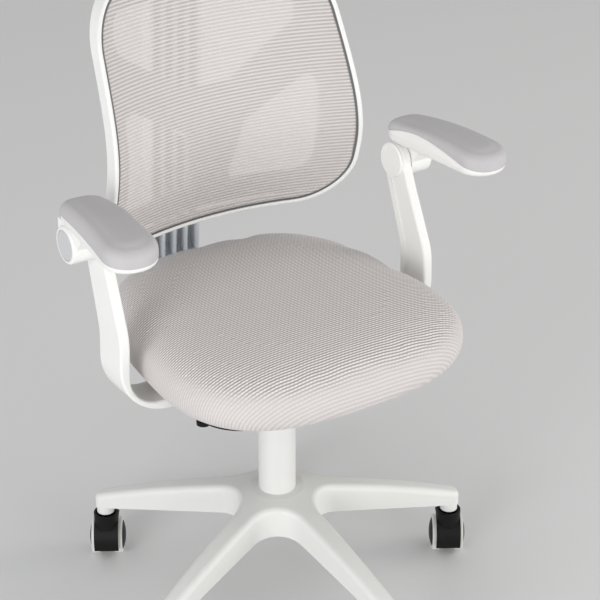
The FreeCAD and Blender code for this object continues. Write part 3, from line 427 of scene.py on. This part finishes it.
def sliceAlong(bm):
    for step in range(1, armPad["slices"]):
        y = armPad["tip"] + (armPad["rear"] - armPad["tip"]) * step / armPad["slices"]
        bmesh.ops.bisect_plane(bm, geom=bm.verts[:] + bm.edges[:] + bm.faces[:], dist=1e-5,
                               plane_co=(0, y, 0), plane_no=(0, 1, 0))


def placeOnArm(bm, hand):
    side = 1 if hand == "right" else -1
    toe = Matrix.Rotation(math.radians(armPad["toe"]), 4, "Z")
    tilt = Matrix.Rotation(math.radians(armPad["tilt"]), 4, "X")
    bmesh.ops.transform(bm, matrix=Matrix.Translation(armPad["pivot"]) @ (toe @ tilt), verts=bm.verts)
    bmesh.ops.scale(bm, vec=(side, 1, 1), verts=bm.verts)
    bmesh.ops.recalc_face_normals(bm, faces=bm.faces)


def makeArmPad(hand):
    bm = padBlank(0.0)
    topFace = max(bm.faces, key=lambda f: f.normal.z)
    bmesh.ops.bevel(bm, geom=list(topFace.edges), offset=armPad["brow"], offset_type="OFFSET", affect="EDGES",
                    segments=8, profile=0.5, material=-1)
    lowFace = min(bm.faces, key=lambda f: f.normal.z)
    bmesh.ops.bevel(bm, geom=list(lowFace.edges), offset=armPad["hem"], offset_type="OFFSET", affect="EDGES",
                    segments=3, profile=0.5, material=-1)
    topFace = max(bm.faces, key=lambda f: f.normal.z)
    for lift in armPad["crown"]:
        bmesh.ops.inset_region(bm, faces=[topFace], thickness=armPad["crownStep"], depth=lift)
    sliceAlong(bm)
    for vertex in bm.verts:  # each height carried over between the split line and the arched top
        straight, split = padSplit(vertex.co.x, vertex.co.y)
        share = (vertex.co.z - straight) / (armPad["top"] - straight)
        vertex.co.z = split + share * (padTop(vertex.co.y) - split)
    placeOnArm(bm, hand)
    piece = newPiece(f"armPad.{hand}", bm, [padSkin])
    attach(piece, f"armrest_{hand}")
    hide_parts(f"arm_pad_{hand}")
    return piece


# White upper rim of the pad's base, up to the split line
def makePadTray(hand):
    bm = padBlank(armPad["trayInset"])
    sliceAlong(bm)
    for vertex in bm.verts:
        straight, split = padSplit(vertex.co.x, vertex.co.y)
        isTop = vertex.co.z > armPad["top"] - 0.001
        vertex.co.z = split - armPad["trayGap"] if isTop else straight - armPad["trayGap"]
    placeOnArm(bm, hand)
    piece = newPiece(f"padTray.{hand}", bm, [whiteAbs])
    soft = piece.modifiers.new("edge", "BEVEL")
    soft.width = armPad["trayEdge"]
    soft.segments = 2
    soft.limit_method = "ANGLE"
    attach(piece, f"armrest_{hand}")
    return piece


for hand in ("left", "right"):
    makeArmPad(hand)
    makePadTray(hand)
print("arm pads done")

backSheet = {
    "corners": [(-0.187, 0.503, 0.07), (0.187, 0.503, 0.07), (0.185, 0.611, 0.4), (0.1685, 0.847, 0.082),
                (-0.1685, 0.847, 0.082), (-0.185, 0.611, 0.4)],
    "inset": 0.0071, "lumbarZ": 0.639, "lumbarY": 0.112, "bowLength": 0.065, "bowSlope": 0.49,
    "wrap": 0.05605, "halfWidth": 0.210, "behindFront": 0.0026, "thickness": 0.0009, "flat": (0.371, 0.352),
    "columns": 80, "rows": 84, "gridHalf": 0.21, "drawnLow": 0.87,
}


def backY(x, z):
    bow = math.hypot(backSheet["bowLength"], z - backSheet["lumbarZ"]) - backSheet["bowLength"]
    middle = backSheet["lumbarY"] + backSheet["bowSlope"] * bow
    radius = (backSheet["halfWidth"] ** 2 + backSheet["wrap"] ** 2) / (2 * backSheet["wrap"])
    return middle - radius + math.sqrt(radius ** 2 - x ** 2)


# Tangent lines round a convex outline with rounded corners: (point, outward direction)
def outlineTangents(corners, inset, steps=10):
    tangents = []
    count = len(corners)
    for i, (x, z, radius) in enumerate(corners):
        here = Vector((x, z))
        before = (here - Vector(corners[i - 1][:2])).normalized()
        after = (Vector(corners[(i + 1) % count][:2]) - here).normalized()
        outFirst, outLast = Vector((before.y, -before.x)), Vector((after.y, -after.x))
        bisector = (outFirst + outLast).normalized()
        centre = here - bisector * (radius / bisector.dot(outFirst))
        for step in range(steps + 1):
            out = outFirst.lerp(outLast, step / steps).normalized()
            tangents.append((centre + out * (radius - inset), out))
    return tangents


def makeBackSheet():
    bm = bmesh.new()
    bmesh.ops.create_grid(bm, x_segments=backSheet["columns"], y_segments=backSheet["rows"],
                          size=backSheet["gridHalf"])
    lift = (backSheet["corners"][0][1] + backSheet["corners"][3][1]) / 2
    bmesh.ops.rotate(bm, cent=(0, 0, 0), matrix=Matrix.Rotation(math.radians(90), 3, "X"), verts=bm.verts)
    bmesh.ops.translate(bm, vec=(0, 0, lift), verts=bm.verts)
    for point, out in outlineTangents(backSheet["corners"], backSheet["inset"]):
        bmesh.ops.bisect_plane(bm, geom=bm.verts[:] + bm.edges[:] + bm.faces[:], dist=1e-6,
                               plane_co=(point.x, 0, point.y), plane_no=(out.x, 0, out.y), clear_outer=True)
    for vertex in bm.verts:
        vertex.co.y = backY(vertex.co.x, vertex.co.z) + backSheet["behindFront"]
    bmesh.ops.recalc_face_normals(bm, faces=bm.faces)
    piece = newPiece("backNet", bm, [backNet])
    mesh = piece.data
    lumbar, drawnLow = backSheet["lumbarZ"], backSheet["drawnLow"]  # the net is drawn longer below the lumbar bow
    setFloats(mesh, "weft", [(v.co.z - lumbar) * (1.0 if v.co.z > lumbar else drawnLow) for v in mesh.vertices])
    setFloats(mesh, "warp", [v.co.x for v in mesh.vertices])
    wall = piece.modifiers.new("yarn", "SOLIDIFY")
    wall.thickness = backSheet["thickness"]
    wall.offset = 0.0
    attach(piece, "seat_unit")
    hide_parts("back_mesh")
    return piece


makeBackSheet()
print("back net done")

wheel = {
    "near": 0.0102, "edge": 0.0215, "far": 0.025, "bore": 0.0032, "shoulder": 0.0012,
    "treadDepth": 0.005, "steps": 56, "axleTurn": 57.6 - 90.0,
}


def makeWheel(name, side):
    sign = 1 if side == "b" else -1
    low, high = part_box(f"{name}_wheel_{side}")
    radius, edge, far = round((high[2] - low[2]) / 2, 4), wheel["edge"], wheel["far"]
    near, ease, tread = wheel["near"], wheel["shoulder"], radius - wheel["treadDepth"]
    profile = [(near, wheel["bore"]), (near, radius - ease - 0.004), (near, radius - ease),
               (near + ease * 0.3, radius - ease * 0.3), (near + ease, radius), (edge - ease, radius),
               (edge - ease * 0.3, radius - ease * 0.3), (edge, radius - ease), (edge, tread),
               (edge - 0.0006, tread - 0.0003), (edge + 0.0002, radius - 0.0062),  # groove where the disc begins
               (edge + 0.0011, radius - 0.0085), (edge + 0.0021, 0.55 * radius), (far - 0.0006, 0.42 * radius),
               (far, 0.28 * radius), (far, 0.0001)]  # domed disc
    bm = bmesh.new()
    line = [bm.verts.new((sign * x, r, 0)) for x, r in profile]
    edges = [bm.edges.new(pair) for pair in zip(line, line[1:])]
    bmesh.ops.spin(bm, geom=line + edges, cent=(0, 0, 0), axis=(1, 0, 0), angle=2 * math.pi, steps=wheel["steps"],
                   use_merge=True)
    bmesh.ops.remove_doubles(bm, verts=bm.verts, dist=0.00015)
    bmesh.ops.recalc_face_normals(bm, faces=bm.faces)
    for face in bm.faces:
        middle = face.calc_center_median()
        reach = math.hypot(middle.y, middle.z)
        face.material_index = 0 if reach > tread - 0.0002 else 1
    low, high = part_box(f"{name}_axle")
    centre = (Vector(low) + Vector(high)) / 2
    turn = Matrix.Rotation(math.radians(wheel["axleTurn"]), 4, "Z")
    bmesh.ops.transform(bm, matrix=Matrix.Translation(centre) @ turn, verts=bm.verts)
    piece = newPiece(f"{name}.tread_{side}", bm, [wheelTread, wheelDisc])
    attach(piece, f"{name}_roller_{side}")
    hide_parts(f"{name}_wheel_{side}")
    return piece


for number in range(1, 6):
    for side in "ab":
        makeWheel(f"caster_{number}", side)
print("wheels done")

studio = {
    "floor": "DDDDDD", "floorDark": "DADADA", "floorSize": 9.0, "world": "FFFFFF", "worldStrength": 0.60,
    "keyPower": 55, "fillPower": 82, "frontPower": 42,
}


def makeFloor():
    made = newMaterial("paintedStudioFloor")
    place = addNode(made, "ShaderNodeTexCoord").outputs["Object"]
    cloud = addNode(made, "ShaderNodeTexNoise", inputs={"Scale": 0.6, "Detail": 1.0}, links={"Vector": place})
    tint = addNode(made, "ShaderNodeMix", {"data_type": "RGBA"}, links={"Factor": cloud.outputs["Fac"]})
    tint.inputs["A"].default_value = linear(studio["floorDark"])
    tint.inputs["B"].default_value = linear(studio["floor"])
    shader = addNode(made, "ShaderNodeBsdfPrincipled", inputs={"Roughness": 0.8},
                     links={"Base Color": tint.outputs["Result"]})
    addNode(made, "ShaderNodeOutputMaterial", links={"Surface": shader.outputs["BSDF"]})
    bm = bmesh.new()
    bmesh.ops.create_grid(bm, x_segments=4, y_segments=4, size=studio["floorSize"])
    floor = newPiece("studioFloor", bm, [made], smooth=False)


def areaLight(name, place, aim, size, power, colour):
    lamp = bpy.data.lights.new(name, "AREA")
    lamp.shape = "DISK"
    lamp.size = size
    lamp.energy = power
    lamp.color = linear(colour)[:3]
    holder = bpy.data.objects.new(name, lamp)
    scene.collection.objects.link(holder)
    holder.location = place
    holder.rotation_euler = (Vector(aim) - Vector(place)).to_track_quat("-Z", "Y").to_euler()


def makeStudio():
    makeFloor()
    world = bpy.data.worlds.new("studioAir")
    world.use_nodes = True
    air = world.node_tree.nodes["Background"]
    air.inputs["Color"].default_value = linear(studio["world"])
    air.inputs["Strength"].default_value = studio["worldStrength"]
    scene.world = world
    areaLight("rightBox", (3.5, -1.7, 1.2), (0, 0, 0.6), 2.4, studio["keyPower"], "FFFDFB")
    areaLight("frontBox", (0.4, -3.8, 0.5), (0, 0, 0.5), 2.2, studio["frontPower"], "FFFFFF")
    areaLight("leftBox", (-3.5, -1.7, 1.2), (0, 0, 0.6), 2.4, studio["fillPower"], "FDFEFF")


makeStudio()

shot = {"place": (-1.0970, -1.7287, 1.5018), "heading": 33.26, "down": 27.256, "lens": 108.0}
lens = bpy.data.cameras.new("photoCamera")
lens.lens = shot["lens"]
lens.sensor_width = 36.0
camera = bpy.data.objects.new("photoCamera", lens)
scene.collection.objects.link(camera)
camera.location = shot["place"]
camera.rotation_euler = (math.radians(90 - shot["down"]), 0, math.radians(-shot["heading"]))
scene.camera = camera
print("studio and camera set")
